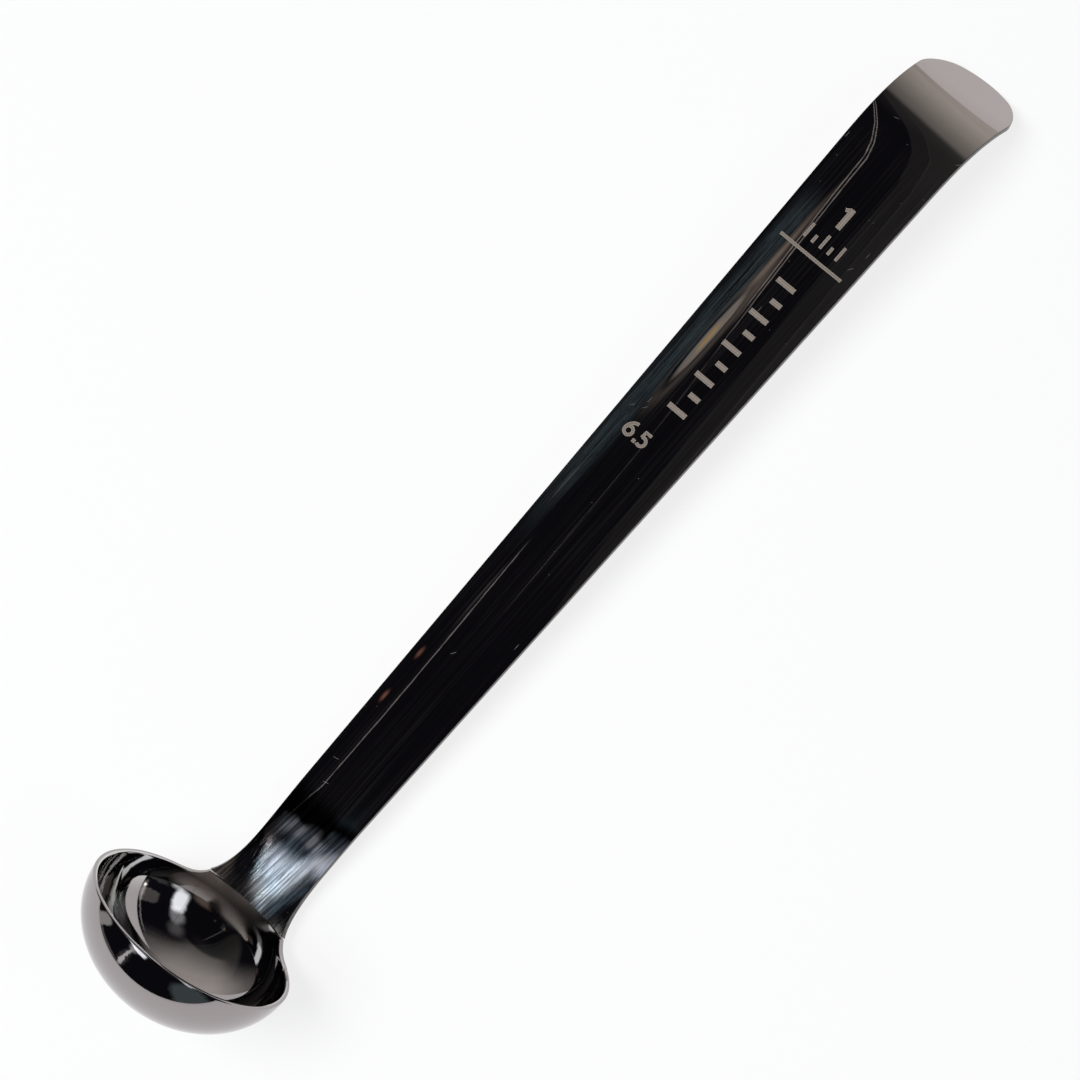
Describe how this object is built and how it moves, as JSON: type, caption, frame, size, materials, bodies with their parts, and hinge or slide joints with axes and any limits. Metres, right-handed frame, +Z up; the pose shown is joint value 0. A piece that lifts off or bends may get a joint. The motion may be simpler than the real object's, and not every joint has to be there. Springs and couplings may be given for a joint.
{
  "type": "tea measuring spoon",
  "caption": "Ladle-shaped measuring spoon of polished steel: a deep round bowl and a long flat handle rising from its rear rim, its tip curled back.",
  "frame": {"origin": "on the surface that the spoon lies on, below the middle of its overall box", "axes": "+X along the handle towards its curled tip, +Y across, +Z up out of the handle's front face"},
  "size_m": [0.1822, 0.033, 0.032],
  "materials": {
    "bowl_steel": "mirror polished stainless steel",
    "handle_steel": "polished stainless steel with fine lengthwise brushing"
  },
  "bodies": {
    "root": {"bowl": "bowl_steel", "handle": "handle_steel"}
  },
  "joints": []
}
